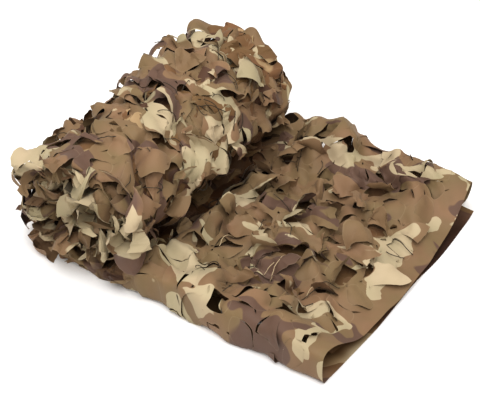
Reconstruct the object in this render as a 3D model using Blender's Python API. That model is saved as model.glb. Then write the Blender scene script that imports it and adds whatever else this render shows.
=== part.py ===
"""Camouflage netting: one cloth of leaf-cut netting, folded in three along its length and rolled up from one end.

The rest of its length lies flat in front of the roll. The cloth is one sheet, so it is one solid: a grid of
sections along the length, each with the same folded profile across the width, thickened to the cloth's own depth.
Metres, +Z up. X runs from the roll to the flat end, and Y along the roll's axis. The floor is at Z = 0.
"""

import math

import bmesh
import bpy
import numpy as np

# The cloth is 1.5 m wide and 2 m long before it is folded.
CLOTH_DEPTH = 0.002
FOLDED_WIDTH = 0.500  # a third of the cloth's width, which is also the length of the roll

# The roll: its axis stands over ROLL_X, and its outer cross-section is an oval that is wider at the near end.
ROLL_X = -0.228
ROLL_HALF_HEIGHT = 0.127
ROLL_HALF_WIDTH_NEAR = 0.150
ROLL_HALF_WIDTH_FAR = 0.142
OVAL_TURNS = 4.0  # turns that would wind the cloth down to nothing
WOUND_TURNS = 3.0  # turns that the cloth has
TELESCOPE = 0.016  # how far the innermost turn stands out of the near end

# The flat end, in front of the roll.
END_X = 0.264
END_SKEW = 0.036  # how much further its far corner reaches than its near one
END_STEP = 0.014  # how much further the bottom layer reaches than the top one
END_DRIFT = 0.022  # how far it lies to the back of the roll's own line

# Heights from the folded cloth's bottom layer to its top one.
PACK_IN_ROLL = 0.021
PACK_ON_FLOOR = 0.034
PACK_AT_END = 0.026
MIDDLE_SHARE = 0.46  # the middle layer's height, as a share of the top layer's
ROOM_UNDER_ROLL = 0.0065  # from the top layer on the floor up to the turn of the roll over it

# The folds hold the cloth up along both sides of the flat part, and the far one stands highest by the roll.
NEAR_FOLD_RISE = 0.042
NEAR_FOLD_REACH = 0.055
FAR_FOLD_RISE = 0.040
FAR_FOLD_REACH = 0.070
FAR_FOLD_RISE_BY_ROLL = 0.026
BY_ROLL_REACH = 0.160

# The profile across the folded width.
LAYER_POINTS = 10
FOLD_POINTS = 3
FOLD_BULGE = 0.32  # how far a fold stands out sideways, as a share of the pack's height
BOTTOM_LIP = 0.010  # the bottom layer's free edge past the far fold
MIDDLE_SETBACK = 0.035  # the middle layer's free edge short of the near fold

# The sections along the length.
FLAT_SECTIONS = 12
SECTIONS_PER_TURN = 16
RISE_LENGTH = 0.150  # from the roll's foot to where the cloth has its full height on the floor
END_LENGTH = 0.090  # over which the flat end is pressed down

# Ruffles of the top layer on the floor, each a wave across the cloth, with lengths along X and Y.
RUFFLES = (
    {"height": 0.0050, "along_x": 0.170, "along_y": 0.210, "phase": 0.6},
    {"height": 0.0035, "along_x": 0.110, "along_y": -0.160, "phase": 2.1},
)

# Dents and swellings of the roll as shares of its radius, the same in all of its turns, so that no two turns meet.
SWELLINGS = (
    {"share": 0.030, "waves_round": 3, "along_y": 0.46, "phase": 0.4},
    {"share": 0.022, "waves_round": 5, "along_y": -0.31, "phase": 1.9},
)

# The net's largest gaps: every third place of every other row of the grid, on the top of the flat part and round
# the roll's outer turn.
GAP_INSET = 0.006
GAP_ROW_STEP = 2
GAP_COLUMN_STEP = 3
ROWS_WITHOUT_GAPS_BY_ROLL = 2

BROWN = (0.262, 0.172, 0.100)
ROUGHNESS = 0.75


def smooth(value):
    """A smooth step from 0 to 1 as the value goes from 0 to 1."""
    value = np.clip(value, 0.0, 1.0)
    return value * value * (3.0 - 2.0 * value)


def profile():
    """The folded cross-section: rows of (share of the width, layer height, fold's sideways share, layer name)."""
    fold_angles = [math.pi * (k + 1) / (FOLD_POINTS + 1) for k in range(FOLD_POINTS)]
    drop = 1.0 - MIDDLE_SHARE
    rows = []
    for share in np.linspace(1.0 + BOTTOM_LIP / FOLDED_WIDTH, 0.0, LAYER_POINTS):
        rows.append((share, 0.0, 0.0, "bottom"))
    for angle in fold_angles:
        rows.append((0.0, (1.0 - math.cos(angle)) / 2.0, -math.sin(angle), "near fold"))
    for share in np.linspace(0.0, 1.0, LAYER_POINTS):
        rows.append((share, 1.0, 0.0, "top"))
    for angle in fold_angles:
        rows.append((1.0, 1.0 - drop * (1.0 - math.cos(angle)) / 2.0, drop * math.sin(angle), "far fold"))
    for share in np.linspace(1.0, MIDDLE_SETBACK / FOLDED_WIDTH, LAYER_POINTS):
        rows.append((share, MIDDLE_SHARE, 0.0, "middle"))
    return rows


def roll_half_width(share):
    """The roll's outer half width, at a share of the way from its near end to its far end."""
    return ROLL_HALF_WIDTH_NEAR + (ROLL_HALF_WIDTH_FAR - ROLL_HALF_WIDTH_NEAR) * share


def roll_underside(x, share):
    """Height over x of the roll's outer turn, in the eighth of a turn before it winds in under itself."""
    scale = 1.0 - (7.0 / 8.0) / OVAL_TURNS
    across = np.clip((x - ROLL_X) / (scale * roll_half_width(share)), 0.0, 1.0)
    return ROLL_HALF_HEIGHT * (1.0 - scale * math.sqrt(1.0 - across * across))


def pack_height(x, share):
    """Height of the top layer over the bottom one on the floor, at x and at a share of the width."""
    from_roll = smooth((x - ROLL_X) / RISE_LENGTH)
    to_end = smooth((END_X + END_SKEW * (share - 0.5) - x) / END_LENGTH)
    by_roll = 1.0 - smooth((x - ROLL_X - RISE_LENGTH) / BY_ROLL_REACH)
    to_near_fold = share * FOLDED_WIDTH / NEAR_FOLD_REACH
    to_far_fold = (1.0 - share) * FOLDED_WIDTH / FAR_FOLD_REACH
    height = PACK_AT_END + (PACK_ON_FLOOR - PACK_AT_END) * to_end
    height += NEAR_FOLD_RISE * math.exp(-to_near_fold * to_near_fold)
    height += (FAR_FOLD_RISE + FAR_FOLD_RISE_BY_ROLL * by_roll) * math.exp(-to_far_fold * to_far_fold)
    for wave in RUFFLES:
        turns = x / wave["along_x"] + FOLDED_WIDTH * share / wave["along_y"]
        height += wave["height"] * math.sin(2.0 * math.pi * turns + wave["phase"]) * to_end
    height = PACK_IN_ROLL + (height - PACK_IN_ROLL) * from_roll
    return min(height, roll_underside(x, share) - ROOM_UNDER_ROLL)


def floor_point(along, share, height, sideways):
    """A point of the flat part, at a share of its length from the roll and at one point of the profile."""
    end = END_X + END_SKEW * (share - 0.5) + END_STEP * (0.5 - height)
    x = ROLL_X + (end - ROLL_X) * along
    pack = pack_height(x, share)
    y = (share - 0.5) * FOLDED_WIDTH + FOLD_BULGE * sideways * pack + END_DRIFT * smooth(along)
    return (x, y, CLOTH_DEPTH / 2.0 + height * pack)


def roll_point(angle, share, height, sideways):
    """A point of the roll, at an angle wound up from the floor and at one point of the profile."""
    y = (share - 0.5) * FOLDED_WIDTH
    swelling = 0.0
    for wave in SWELLINGS:
        phase = 2.0 * math.pi * y / wave["along_y"] + wave["phase"]
        swelling += wave["share"] * math.sin(wave["waves_round"] * angle + phase)
    off_floor = (1.0 - math.cos(angle)) / 2.0
    scale = 1.0 - angle / (2.0 * math.pi * OVAL_TURNS) - height * PACK_IN_ROLL / ROLL_HALF_HEIGHT
    scale *= 1.0 + swelling * off_floor
    x = ROLL_X - roll_half_width(share) * scale * math.sin(angle)
    z = ROLL_HALF_HEIGHT * (1.0 - scale * math.cos(angle)) + CLOTH_DEPTH / 2.0
    stands_out = TELESCOPE * angle / (2.0 * math.pi * WOUND_TURNS)
    return (x, y + FOLD_BULGE * sideways * PACK_IN_ROLL - stands_out, z)


def sections():
    """The grid of points: a row for each section, from the flat end to the roll and on to its core."""
    columns = profile()
    rows = []
    for k in range(FLAT_SECTIONS):
        along = 1.0 - k / FLAT_SECTIONS
        rows.append([floor_point(along, share, height, sideways) for share, height, sideways, _ in columns])
    for k in range(round(SECTIONS_PER_TURN * WOUND_TURNS) + 1):
        angle = 2.0 * math.pi * k / SECTIONS_PER_TURN
        rows.append([roll_point(angle, share, height, sideways) for share, height, sideways, _ in columns])
    return np.array(rows)


def centred(points):
    """The points moved along the floor until the middle of their box stands on the origin."""
    middle = (points.min(axis=(0, 1)) + points.max(axis=(0, 1))) / 2.0
    return points - np.array([middle[0], middle[1], 0.0])


def is_gap(row, column, layers):
    """Whether the place between this row and column and the next ones is one of the net's largest gaps."""
    if layers[column] != layers[column + 1] or row % GAP_ROW_STEP == 0:
        return False
    last_turn_row = FLAT_SECTIONS + SECTIONS_PER_TURN - ROWS_WITHOUT_GAPS_BY_ROLL
    on_flat = layers[column] == "top" and row < FLAT_SECTIONS - ROWS_WITHOUT_GAPS_BY_ROLL
    on_roll = layers[column] == "bottom" and FLAT_SECTIONS + ROWS_WITHOUT_GAPS_BY_ROLL < row <= last_turn_row
    in_step = (column + row // GAP_ROW_STEP) % GAP_COLUMN_STEP == 0
    return (on_flat or on_roll) and in_step


def net_mesh():
    """The cloth's middle surface, with its largest gaps cut out."""
    points = centred(sections())
    layers = [layer for _, _, _, layer in profile()]
    shape = bmesh.new()
    corners = [[shape.verts.new(point) for point in row] for row in points]
    gaps = []
    for row in range(len(corners) - 1):
        for column in range(len(layers) - 1):
            this, beyond = corners[row], corners[row + 1]
            face = shape.faces.new((this[column], this[column + 1], beyond[column + 1], beyond[column]))
            if is_gap(row, column, layers):
                gaps.append(face)
    shape.normal_update()
    bmesh.ops.inset_individual(shape, faces=gaps, thickness=GAP_INSET, use_even_offset=True)
    bmesh.ops.delete(shape, geom=gaps, context="FACES")
    bmesh.ops.triangulate(shape, faces=shape.faces)
    mesh = bpy.data.meshes.new("net_cloth")
    shape.to_mesh(mesh)
    shape.free()
    mesh.shade_smooth()
    return mesh


def cloth_material():
    """Printed synthetic cloth, in the net's main brown."""
    material = bpy.data.materials.new("camouflage_cloth")
    material.use_nodes = True
    shader = material.node_tree.nodes["Principled BSDF"]
    shader.inputs["Base Color"].default_value = (*BROWN, 1.0)
    shader.inputs["Roughness"].default_value = ROUGHNESS
    shader.inputs["Metallic"].default_value = 0.0
    return material


def main():
    for old in list(bpy.data.objects):
        bpy.data.objects.remove(old)
    mesh = net_mesh()
    mesh.materials.append(cloth_material())
    net = bpy.data.objects.new("net_cloth", mesh)
    bpy.context.scene.collection.objects.link(net)
    depth = net.modifiers.new("cloth depth", "SOLIDIFY")
    depth.thickness = CLOTH_DEPTH
    depth.offset = 0.0
    depth.use_even_offset = False


main()
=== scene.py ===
# %% [markdown]
# # Camouflage netting, folded and rolled
#
# The real thing is one length of printed cloth with rows of curved cuts. Each cut leaves a leaf-shaped
# tab that hangs on by a narrow neck, so the cloth opens into a net and the tabs twist out of it. Here it
# has been folded in three along its length and rolled up from one end. This lesson makes the cloth as it
# was cut, flat, and then carries every point of it onto the folded and rolled shape.

import math
from collections import namedtuple

import bpy
import numpy as np
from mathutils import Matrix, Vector


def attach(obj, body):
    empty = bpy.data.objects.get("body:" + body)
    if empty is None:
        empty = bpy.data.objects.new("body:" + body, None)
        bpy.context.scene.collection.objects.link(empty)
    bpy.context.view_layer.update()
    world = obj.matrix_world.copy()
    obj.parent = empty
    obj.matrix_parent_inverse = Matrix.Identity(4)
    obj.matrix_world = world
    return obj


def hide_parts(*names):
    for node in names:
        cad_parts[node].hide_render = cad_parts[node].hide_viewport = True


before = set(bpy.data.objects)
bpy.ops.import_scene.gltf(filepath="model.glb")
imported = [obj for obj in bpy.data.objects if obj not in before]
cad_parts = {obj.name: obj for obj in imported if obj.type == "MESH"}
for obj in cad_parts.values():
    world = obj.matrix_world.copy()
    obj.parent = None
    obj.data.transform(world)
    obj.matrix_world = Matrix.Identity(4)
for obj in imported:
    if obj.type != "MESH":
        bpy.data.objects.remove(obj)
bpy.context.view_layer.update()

# %% [markdown]
# ## The camera
#
# A long lens from well above, looking across the roll's near end. It could be set by hand in the
# viewport, but here its place is worked back from the point it looks at, so the heading, the tilt and the
# distance can each be changed alone.

# %% The camera
LOOK_AT = (0.012, -0.055, 0.100)
CAMERA_DISTANCE = 1.581
CAMERA_HEADING = math.radians(34.2)
CAMERA_TILT = math.radians(40.9)
LENS = 67.3
SENSOR_WIDTH = 36.0

camera_data = bpy.data.cameras.new("camera")
camera_data.lens = LENS
camera_data.sensor_width = SENSOR_WIDTH
camera = bpy.data.objects.new("camera", camera_data)
level = math.cos(CAMERA_TILT)
back = Vector((level * math.sin(CAMERA_HEADING), -level * math.cos(CAMERA_HEADING), math.sin(CAMERA_TILT)))
camera.location = Vector(LOOK_AT) + back * CAMERA_DISTANCE
camera.rotation_euler = (math.pi / 2.0 - CAMERA_TILT, 0.0, CAMERA_HEADING)
bpy.context.scene.collection.objects.link(camera)
bpy.context.scene.camera = camera
print("camera at", camera.location)

# %% [markdown]
# ## Turning arrays into meshes
#
# Every surface below is worked out as whole numpy arrays, which is far quicker than adding points one by
# one. One helper puts the points and the faces into a mesh, with the flat cloth's own coordinates as its
# UV map, so that the print can follow the cloth.

# %% Meshes from arrays
SHARP_FOLD = math.radians(30.0)


def mesh_from_arrays(name, points, quads, cloth_places, point_values):
    """A smooth mesh of four-sided faces. cloth_places are the points' places on the flat cloth, in
    metres, and point_values holds one number a point for each named attribute."""
    mesh = bpy.data.meshes.new(name)
    mesh.vertices.add(len(points))
    mesh.vertices.foreach_set("co", points.astype(np.float32).ravel())
    mesh.loops.add(quads.size)
    mesh.loops.foreach_set("vertex_index", quads.astype(np.int32).ravel())
    mesh.polygons.add(len(quads))
    mesh.polygons.foreach_set("loop_start", np.arange(0, quads.size, 4, dtype=np.int32))
    mesh.update(calc_edges=True)
    mesh.validate()
    layer = mesh.uv_layers.new(name="cloth")
    layer.data.foreach_set("uv", cloth_places[quads.ravel()].astype(np.float32).ravel())
    for value_name, values in point_values.items():
        attribute = mesh.attributes.new(value_name, "FLOAT", "POINT")
        attribute.data.foreach_set("value", values.astype(np.float32))
    mesh.shade_smooth()
    mesh.set_sharp_from_angle(angle=SHARP_FOLD)
    return mesh


def show(name, mesh):
    """An object for a finished mesh, at the origin."""
    shown = bpy.data.objects.new(name, mesh)
    bpy.context.scene.collection.objects.link(shown)
    return shown


print("edges stay sharp where the faces meet at more than", round(math.degrees(SHARP_FOLD)), "degrees")

# %% [markdown]
# ## Steps and bumps
#
# A fold, a dent or a border has to start and stop without a corner. Two small functions do that
# everywhere below: a step that goes over from one place to another, and a bump round one place.


# %% Smooth steps and bumps
def step(value, low, high):
    """A smooth step from 0 at low to 1 at high, level on both sides: three times the square of the share
    of the way, less twice its cube. With high under low, it falls from 1 to 0 instead."""
    share = np.clip((value - low) / (high - low), 0.0, 1.0)
    return share * share * (3.0 - 2.0 * share)


def bump(value, middle, reach):
    """1 at the middle, about a third at one reach from it, and next to nothing at two reaches."""
    return np.exp(-(((value - middle) / reach) ** 2))


quarters = np.linspace(0.0, 1.0, 5)
print("a step:", step(quarters, 0.0, 1.0).round(2))
print("one side of a bump:", bump(quarters, 0.0, 0.5).round(2))

# %% [markdown]
# ## How the cloth is folded and rolled
#
# The flat cloth has two coordinates: s along its length, from the flat end to the core of the roll, and t
# across its width, from the bottom layer's free edge, round the near fold, over the top layer, round the
# far fold and back along the middle layer. Cloth like this could be folded by a simulation, but it would
# never come to rest in the same place twice. So one function takes a point (s, t) to its place. On the
# floor the point rides at its layer's share of the height of the pack, and in the roll it winds round an
# oval that gets smaller with every turn.

# %% Sizes of the roll
ROLL_X = -0.228
ROLL_HALF_HEIGHT = 0.123
ROLL_HALF_WIDTH_NEAR = 0.146
ROLL_HALF_WIDTH_FAR = 0.140
ROLL_MEAN_RADIUS = 0.135
OVAL_TURNS = 4.0  # after so many turns the oval would be down to nothing
WOUND_TURNS = 3.0
NEARLY_HALF = 0.499  # winding stops just before the oval is down to nothing
DRAWN_IN = 0.006  # how far the innermost turn lies inside the roll's near end
ROLL_LEAN = 0.020  # how far the far end's top leans away from the flat part
LOW_SAG = 0.017  # how far the cloth sags out, low on the back
LOW_SAG_AT = (0.85, 0.40)  # where round the roll, and how wide, as an angle
NEAR_END_STEP = 0.008  # how far the near end stands out low on the back, and in higher up
STANDS_OUT_AT = (1.05, 0.50)
STANDS_IN_AT = (2.20, 0.50)
SWELLINGS = (
    {"share": 0.030, "waves_round": 3, "along_y": 0.46, "phase": 0.4},
    {"share": 0.022, "waves_round": 5, "along_y": -0.31, "phase": 1.9},
)
FULL_ANGLE = 2.0 * math.pi * OVAL_TURNS
WOUND_ANGLE = 2.0 * math.pi * WOUND_TURNS
WOUND_LENGTH = ROLL_MEAN_RADIUS * (WOUND_ANGLE - WOUND_ANGLE**2 / (2.0 * FULL_ANGLE))
print(f"{WOUND_LENGTH:.3f} m of cloth in {WOUND_TURNS:.0f} turns")

# %% Sizes of the flat part
WIDTH = 0.500
FLAT_LENGTH = 0.500
END_X = 0.257
END_SKEW = 0.020  # how much further out the top layer ends at the far fold than at the near one
END_BOW = 0.011  # how far its end bows outwards in the middle
END_REACH = 0.006  # how far the top layer alone reaches out there, over the bottom one's end
END_DRIFT = 0.018  # how far the flat end has moved along the roll
BOTTOM_STEP = (0.005, 0.015)  # how far the bottom layer looks out in the near half, and at the far corner
LOOKS_OUT_FROM = (0.50, 0.85)  # shares of the width
MIDDLE_STEP = -0.012  # the middle layer ends inside the others
PACK_IN_ROLL = 0.021  # heights of the top layer over the bottom one
PACK_ON_FLOOR = 0.034
PACK_AT_END = 0.021
END_SETTLE = 0.011  # how much lower the middle of the end has settled
RISE_LENGTH = 0.150  # from under the roll to the full height
END_LENGTH = 0.090  # from the full height down to the end
ROOM_UNDER_ROLL = 0.0065
UNDERSIDE_TURN = 7.0 / 8.0  # the outer turn is as small as this where it hangs over the flat part
RUFFLES = (
    {"height": 0.0050, "along_x": 0.170, "along_y": 0.210, "phase": 0.6},
    {"height": 0.0035, "along_x": 0.110, "along_y": -0.160, "phase": 2.1},
)
print(f"the flat part ends at x {END_X:.3f} and is {WIDTH:.3f} m wide")

# %% Sizes of the folds
NEAR_FOLD_LENGTH = 0.060
FAR_FOLD_LENGTH = 0.030
BOTTOM_LIP = 0.010  # how far the bottom layer goes on past the far fold
MIDDLE_SETBACK = 0.035  # how far the middle layer stops short of the near fold
MIDDLE_SHARE = 0.46  # the middle layer's share of the height
FAR_SAG = 0.24  # how much lower it is beside the far fold
FAR_SAG_REACH = 0.06
NEAR_FOLD_RISE = 0.042  # the folds hold the cloth up along both sides
NEAR_FOLD_REACH = 0.055
FAR_FOLD_RISE = 0.042
FAR_FOLD_REACH = 0.070
FAR_FOLD_RISE_BY_ROLL = 0.007
BY_ROLL_REACH = 0.160
FOLD_BULGE = 0.29
FOLD_CORNER = 1.2
NEAR_INSET = 0.002  # how far the near fold is drawn in beside the roll
INSET_FROM = (0.0, 0.15)  # shares of the way from the roll to the flat end
INSET_TO = (0.2, 0.8)
FOOT_SPREAD = 0.0125  # how far the near fold spreads at the roll's foot
FOOT_AT = (FLAT_LENGTH - 0.020, 0.075)
LAYERS = (WIDTH + BOTTOM_LIP, NEAR_FOLD_LENGTH, WIDTH, FAR_FOLD_LENGTH, WIDTH - MIDDLE_SETBACK)
FOLD_ENDS = np.cumsum([0.0, *LAYERS])
NEAR_FOLD_MIDDLE = FOLD_ENDS[1] + 0.5 * NEAR_FOLD_LENGTH
CLOTH_WIDTH = FOLD_ENDS[-1]
CLOTH_LENGTH = FLAT_LENGTH + WOUND_LENGTH
print(f"the cloth is {CLOTH_WIDTH:.3f} m by {CLOTH_LENGTH:.3f} m")


# %% The fold across the width
def squared(value):
    """A sine or cosine with a flatter top, so that the fold it makes has two soft corners instead of one
    round."""
    return np.tanh(FOLD_CORNER * value) / math.tanh(FOLD_CORNER)


def fold_profile(t):
    """Share of the folded width, share of the pack's height and sideways bulge at t. Straight runs joined
    by two half turns, the near one with soft corners and the far one round."""
    _, near, top, far, middle, _ = FOLD_ENDS
    turn = np.pi * np.clip((t - near) / (top - near), 0.0, 1.0)
    back_turn = np.pi * np.clip((t - far) / (middle - far), 0.0, 1.0)
    drop = 1.0 - MIDDLE_SHARE + FAR_SAG * bump(np.maximum(t, middle), middle, FAR_SAG_REACH)
    height = (1.0 - squared(np.cos(turn))) / 2.0 - drop * (1.0 - np.cos(back_turn)) / 2.0
    sideways = drop * np.sin(back_turn) - squared(np.sin(turn))
    before = [t < near, t < top, t < far, t <= middle]
    share = np.select(before, [(near - t) / WIDTH, 0.0, (t - top) / WIDTH, 1.0], 1.0 - (t - middle) / WIDTH)
    return share, height, sideways


print("the layers' shares of the height at the fold lines:", fold_profile(FOLD_ENDS)[1].round(2))


# %% The pack on the floor
def roll_half_width(share):
    """The roll's half width, which changes evenly from its near end to its far one."""
    return ROLL_HALF_WIDTH_NEAR + (ROLL_HALF_WIDTH_FAR - ROLL_HALF_WIDTH_NEAR) * share


def middle_bow(share):
    """1 in the middle of the folded width and 0 at both folds, as four times the share times what is
    left."""
    return 4.0 * share * (1.0 - share)


def end_line(share):
    """Where the top layer ends: a slightly slanting line that bows outwards in the middle."""
    return END_X + END_SKEW * (share - 0.5) + END_BOW * middle_bow(share)


def end_step(t, share):
    """How far past that line each layer ends. The bottom one looks out at the far corner, and the top one
    reaches out in the middle."""
    _, near, top, far, middle, _ = FOLD_ENDS
    bottom = step(t, top, near)
    inner = step(t, far, middle + 0.05)
    looks_out = BOTTOM_STEP[0] + (BOTTOM_STEP[1] - BOTTOM_STEP[0]) * step(share, *LOOKS_OUT_FROM)
    return bottom * looks_out + inner * MIDDLE_STEP + (1.0 - bottom - inner) * END_REACH * middle_bow(share)


def pack_height(x, share):
    """Height of the top layer over the bottom one on the floor, kept under the turn of the roll above
    it."""
    from_roll = step(x, ROLL_X, ROLL_X + RISE_LENGTH)
    to_end = step(x, end_line(share), end_line(share) - END_LENGTH)
    by_roll = step(x, ROLL_X + RISE_LENGTH + BY_ROLL_REACH, ROLL_X + RISE_LENGTH)
    height = PACK_AT_END + (PACK_ON_FLOOR - PACK_AT_END) * to_end
    height = height - END_SETTLE * (1.0 - to_end) * middle_bow(share) ** 2
    height = height + NEAR_FOLD_RISE * bump(share * WIDTH, 0.0, NEAR_FOLD_REACH)
    far_rise = FAR_FOLD_RISE + FAR_FOLD_RISE_BY_ROLL * by_roll
    height = height + far_rise * bump((1.0 - share) * WIDTH, 0.0, FAR_FOLD_REACH)
    for wave in RUFFLES:
        turns = x / wave["along_x"] + WIDTH * share / wave["along_y"]
        height = height + wave["height"] * np.sin(2.0 * np.pi * turns + wave["phase"]) * to_end
    height = PACK_IN_ROLL + (height - PACK_IN_ROLL) * from_roll
    scale = 1.0 - UNDERSIDE_TURN / OVAL_TURNS
    across = np.clip((x - ROLL_X) / (scale * roll_half_width(share)), 0.0, 1.0)
    underside = ROLL_HALF_HEIGHT * (1.0 - scale * np.sqrt(1.0 - across * across))
    return np.minimum(height, underside - ROOM_UNDER_ROLL)


print("the pack's height at its end:", pack_height(END_X, np.linspace(0.0, 1.0, 5)).round(3))

# %% The folded and rolled surface
TO_MIDDLE = np.array([0.0492, -0.0018, 0.001])  # brings the middle of the solid's box to the origin


def wound_angle(s):
    """How far round the roll a length s has come. The oval shrinks evenly with the angle, so the length
    already wound grows with the angle less its square over twice the full angle, and this is that formula
    turned round."""
    wound = np.clip((s - FLAT_LENGTH) / ROLL_MEAN_RADIUS, 0.0, NEARLY_HALF * FULL_ANGLE)
    return FULL_ANGLE * (1.0 - np.sqrt(1.0 - 2.0 * wound / FULL_ANGLE))


def floor_place(s, t):
    """The place of (s, t) on the flat part, from the roll's middle out to the end line."""
    share, height, sideways = fold_profile(t)
    along = np.minimum(1.0 - s / FLAT_LENGTH, 3.0)
    x = ROLL_X + (end_line(share) + end_step(t, share) - ROLL_X) * along
    pack = pack_height(x, share)
    inset = NEAR_INSET * step(along, *INSET_FROM) * step(along, *INSET_TO[::-1]) * (1.0 - share)
    y = (share - 0.5) * WIDTH + FOLD_BULGE * sideways * pack + END_DRIFT * step(along, 0.0, 1.0) + inset
    return x, y, height * pack


def roll_place(s, t):
    """The place of (s, t) in the roll: an oval that shrinks evenly with the angle, with a few waves round
    it, a lean and a sag."""
    share, height, sideways = fold_profile(t)
    angle = wound_angle(s)
    y_line = (share - 0.5) * WIDTH
    swelling = 0.0
    for wave in SWELLINGS:
        phase = 2.0 * np.pi * y_line / wave["along_y"] + wave["phase"]
        swelling = swelling + wave["share"] * np.sin(wave["waves_round"] * angle + phase)
    off_floor = (1.0 - np.cos(angle)) / 2.0
    scale = 1.0 - angle / FULL_ANGLE - height * PACK_IN_ROLL / ROLL_HALF_HEIGHT
    scale = scale * (1.0 + swelling * off_floor)
    x = ROLL_X - ROLL_LEAN * share * off_floor - LOW_SAG * bump(angle, *LOW_SAG_AT)
    x = x - roll_half_width(share) * scale * np.sin(angle)
    stands_out = bump(angle, *STANDS_OUT_AT) - bump(angle, *STANDS_IN_AT)
    y = y_line + FOLD_BULGE * sideways * PACK_IN_ROLL + DRAWN_IN * angle / WOUND_ANGLE
    y = y - NEAR_END_STEP * stands_out * (1.0 - share) ** 2
    return x, y, ROLL_HALF_HEIGHT * (1.0 - scale * np.cos(angle))


def folded_surface(s, t):
    """The place of the flat cloth's point (s, t), before it is made uneven."""
    pairs = zip(roll_place(s, t), floor_place(s, t))
    x, y, z = (np.where(s > FLAT_LENGTH, rolled, on_floor) for rolled, on_floor in pairs)
    share, _, _ = fold_profile(t)
    y = y - FOOT_SPREAD * bump(s, *FOOT_AT) * (1.0 - share) ** 2
    return np.stack([x, y, z], axis=-1) + TO_MIDDLE


print("the flat end's corners:", folded_surface(np.zeros(2), FOLD_ENDS[2:4]).round(3).tolist())

# %% [markdown]
# ## Unevenness
#
# A net never lies smooth. Blender's noise textures could push the points about, but a sum of long waves
# with random directions does the same in one line of numpy. It gives an even, never repeating unevenness,
# and the same waves always come back, because the random numbers are seeded.

# %% Long waves
random = np.random.default_rng(20)
FIELD_SIZE = 0.6


def wave_field(count, shortest, longest, sharpness=None):
    """A function of (s, t) from -1 to 1 or so: the sum of waves of random direction, length and phase.
    With a sharpness, each wave is straight slopes between narrow ridges and troughs: the arc sine of a
    sine."""
    direction = random.uniform(0.0, 2.0 * np.pi, count)
    turns = 2.0 * np.pi / random.uniform(shortest, longest, count)
    phase = random.uniform(0.0, 2.0 * np.pi, count)
    size = FIELD_SIZE * math.sqrt((3.0 if sharpness else 2.0) / count)

    def field(s, t):
        total = np.zeros(np.shape(s))
        for k in range(count):
            wave = np.sin(turns[k] * (np.cos(direction[k]) * s + np.sin(direction[k]) * t) + phase[k])
            total = total + (np.arcsin(sharpness * wave) * (2.0 / np.pi) if sharpness else wave)
        return total * size

    return field


sway_s = wave_field(10, 0.08, 0.20)
sway_t = wave_field(10, 0.08, 0.20)
rise = wave_field(9, 0.055, 0.120, 0.97)
crumple = wave_field(9, 0.030, 0.055, 0.985)
print("the rise along the flat end:", rise(np.zeros(5), np.linspace(0.6, 1.0, 5)).round(2))

# %% [markdown]
# ## The main creases
#
# On top of the even unevenness come the few big creases that give this one net its outline: the ridges
# that make the roll's outline angular, the arch by which the far fold stands up beside the roll, and the
# troughs that are pressed into the cloth where the roll stands on it. They could be sculpted, but a short
# list can be read and changed. Each is placed on the flat cloth.

# %% The main creases
# s and t of the middle, heading in degrees, half length, half width, and height (less than 0 in a trough)
CREASES = {
    "peak of the roll": (0.800, 0.062, 90, 0.058, 0.050, 0.023),
    "upper corner": (0.945, 0.020, 90, 0.060, 0.034, -0.014),
    "lower corner": (1.035, 0.030, 90, 0.080, 0.040, -0.015),
    "hollow between": (0.985, 0.050, 90, 0.080, 0.060, -0.009),
    "ridge on the back": (0.805, 0.165, 90, 0.060, 0.060, 0.010),
    "petals at the back": (0.775, 0.530, 0, 0.055, 0.050, 0.020),
    "swell at the foot": (0.640, 0.476, 90, 0.036, 0.045, 0.016),
    "dip above the petals": (0.785, 0.385, 0, 0.060, 0.045, -0.010),
    "far top edge": (0.880, 0.010, 90, 0.045, 0.045, -0.011),
    "far end of the roll": (0.905, 1.090, 90, 0.070, 0.060, -0.018),
    "dip on the back": (0.790, 0.300, 0, 0.100, 0.055, -0.008),
    "swell on the back": (0.790, 0.185, 0, 0.100, 0.045, 0.006),
    "arch": (0.245, 1.058, 10, 0.058, 0.056, 0.025),
    "dip after the arch": (0.190, 1.080, 0, 0.030, 0.060, -0.026),
    "corner by the roll": (0.398, 1.070, 90, 0.035, 0.030, 0.012),
    "tuck in the near fold": (0.352, 0.535, 90, 0.050, 0.046, -0.010),
    "swell in the near fold": (0.170, 0.535, 90, 0.050, 0.090, 0.0045),
    "rise to the arch": (0.325, 1.065, 90, 0.040, 0.022, 0.008),
    "dip before the arch": (0.361, 1.070, 90, 0.040, 0.022, -0.008),
    "by the roll": (0.412, 0.760, 92, 0.200, 0.036, -0.028),
    "lip beside it": (0.366, 0.740, 90, 0.180, 0.030, 0.018),
    "undercut": (1.150, 0.280, 90, 0.200, 0.070, -0.014),
    "long ridge": (0.200, 0.800, 60, 0.100, 0.040, 0.007),
    "trough": (0.150, 0.700, 30, 0.080, 0.035, -0.007),
}
CREASE_EDGE = 0.12


def along_and_across(s, t, middle_s, middle_t, heading):
    """How far (s, t) lies from a middle, along a heading in degrees and across it."""
    turn = math.radians(heading)
    along = (s - middle_s) * math.cos(turn) + (t - middle_t) * math.sin(turn)
    across = (t - middle_t) * math.cos(turn) - (s - middle_s) * math.sin(turn)
    return along, across


def main_creases(s, t):
    """The height of the hand-placed creases. Each is a ridge or trough with straight slopes and a
    slightly rounded edge, and it fades out at its ends."""
    total = np.zeros(np.shape(s))
    for middle_s, middle_t, heading, half_length, half_width, height in CREASES.values():
        along, across = along_and_across(s, t, middle_s, middle_t, heading)
        fade = np.exp(-((along / half_length) ** 4))
        slope = np.clip(1.0 + CREASE_EDGE - np.sqrt((across / half_width) ** 2 + CREASE_EDGE**2), 0.0, 1.0)
        total = total + height * fade * slope
    return total


print(len(CREASES), "creases, the highest", max(crease[-1] for crease in CREASES.values()), "m")

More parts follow.
